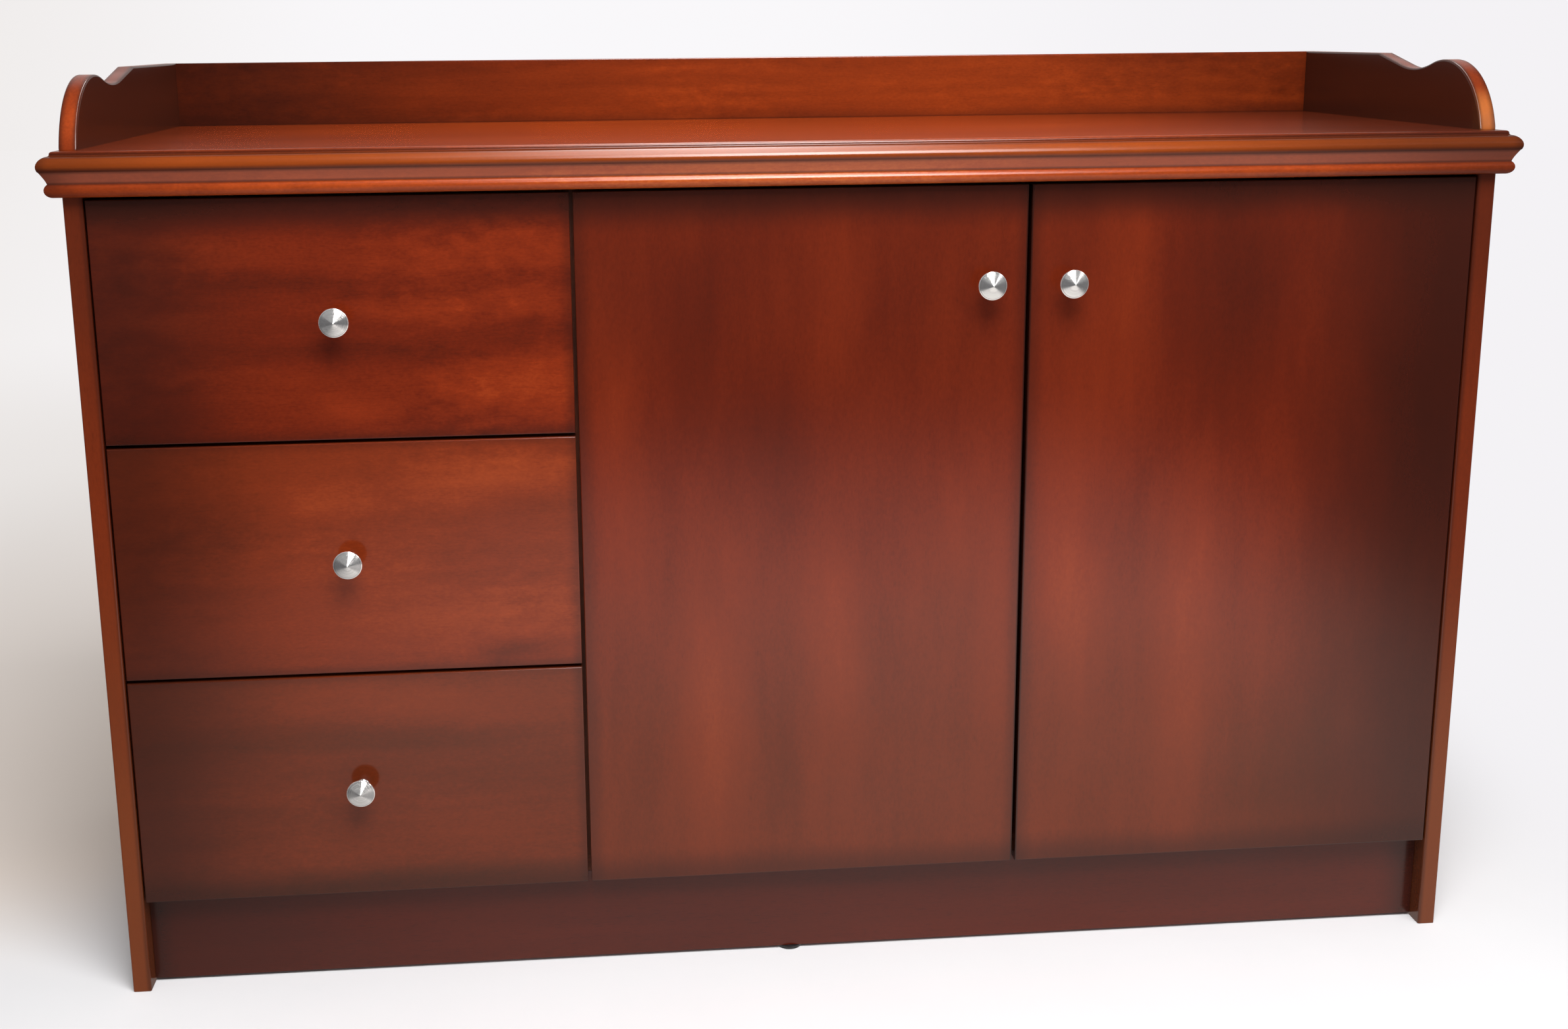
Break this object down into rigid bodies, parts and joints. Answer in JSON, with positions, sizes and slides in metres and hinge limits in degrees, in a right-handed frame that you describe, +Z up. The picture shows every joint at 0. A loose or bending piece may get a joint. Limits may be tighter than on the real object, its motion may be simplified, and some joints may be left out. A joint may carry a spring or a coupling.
{
  "type": "gallery-top cupboard",
  "caption": "Low cupboard with drawers beside a pair of hinged doors, a moulded top and cornice, and a low gallery with scrolled ends round the top.",
  "frame": {"origin": "on the floor, under the middle of the whole object with its knobs", "axes": "+X to the right as seen from the front, -Y to the front, where the drawers and doors open, +Z up"},
  "size_m": [1.4134, 0.485, 0.9243],
  "materials": {
    "mahogany": "red-brown stain under gloss lacquer",
    "mahogany_veneer": "satin",
    "plywood_panel": "thin panel, matt",
    "pale_wood": "satin",
    "brushed_steel": "spun face",
    "nickel_plated_steel": "nickel plated",
    "white_enamel": "epoxy coated, with white nylon rollers",
    "black_plastic": "matt"
  },
  "bodies": {
    "carcase": {"left_side_panel": "mahogany", "right_side_panel": "mahogany", "divider": "mahogany_veneer", "bottom_board": "mahogany_veneer", "plinth": "mahogany", "plinth_glide": "black_plastic", "back_panel": "plywood_panel", "top_front_rail": "mahogany_veneer", "shelf": "mahogany_veneer", "shelf_batten_left": "mahogany_veneer", "shelf_batten_right": "mahogany_veneer", "top_board": "mahogany", "cornice_front": "mahogany", "cornice_left": "mahogany", "cornice_right": "mahogany", "gallery_back": "mahogany", "gallery_left": "mahogany", "gallery_right": "mahogany", "drawer_1_left_runner": "white_enamel", "drawer_1_right_runner": "white_enamel", "drawer_2_left_runner": "white_enamel", "drawer_2_right_runner": "white_enamel", "drawer_3_left_runner": "white_enamel", "drawer_3_right_runner": "white_enamel", "left_door_upper_arm": "nickel_plated_steel", "left_door_lower_arm": "nickel_plated_steel", "right_door_upper_arm": "nickel_plated_steel", "right_door_lower_arm": "nickel_plated_steel"},
    "drawer_1": {"drawer_1_front": "mahogany", "drawer_1_left_side": "pale_wood", "drawer_1_right_side": "pale_wood", "drawer_1_back": "pale_wood", "drawer_1_bottom": "plywood_panel", "drawer_1_knob": "brushed_steel", "drawer_1_left_slide": "white_enamel", "drawer_1_right_slide": "white_enamel"},
    "drawer_2": {"drawer_2_front": "mahogany", "drawer_2_left_side": "pale_wood", "drawer_2_right_side": "pale_wood", "drawer_2_back": "pale_wood", "drawer_2_bottom": "plywood_panel", "drawer_2_knob": "brushed_steel", "drawer_2_left_slide": "white_enamel", "drawer_2_right_slide": "white_enamel"},
    "drawer_3": {"drawer_3_front": "mahogany", "drawer_3_left_side": "pale_wood", "drawer_3_right_side": "pale_wood", "drawer_3_back": "pale_wood", "drawer_3_bottom": "plywood_panel", "drawer_3_knob": "brushed_steel", "drawer_3_left_slide": "white_enamel", "drawer_3_right_slide": "white_enamel"},
    "left_door": {"left_door": "mahogany", "left_door_knob": "brushed_steel", "left_door_upper_cup": "nickel_plated_steel", "left_door_lower_cup": "nickel_plated_steel"},
    "right_door": {"right_door": "mahogany", "right_door_knob": "brushed_steel", "right_door_upper_cup": "nickel_plated_steel", "right_door_lower_cup": "nickel_plated_steel"}
  },
  "joints": [
    {"name": "drawer_1_slide", "type": "slide", "parent": "carcase", "child": "drawer_1", "axis": [0, -1, 0], "range_m": [0, 0.3]},
    {"name": "drawer_2_slide", "type": "slide", "parent": "carcase", "child": "drawer_2", "axis": [0, -1, 0], "range_m": [0, 0.3]},
    {"name": "drawer_3_slide", "type": "slide", "parent": "carcase", "child": "drawer_3", "axis": [0, -1, 0], "range_m": [0, 0.3]},
    {"name": "left_door_hinge", "type": "hinge", "parent": "carcase", "child": "left_door", "pos_m": [-0.22025, -0.2175, 0.098], "axis": [0, 0, -1], "range_deg": [0, 90]},
    {"name": "right_door_hinge", "type": "hinge", "parent": "carcase", "child": "right_door", "pos_m": [0.67, -0.2175, 0.098], "axis": [0, 0, 1], "range_deg": [0, 90]}
  ]
}
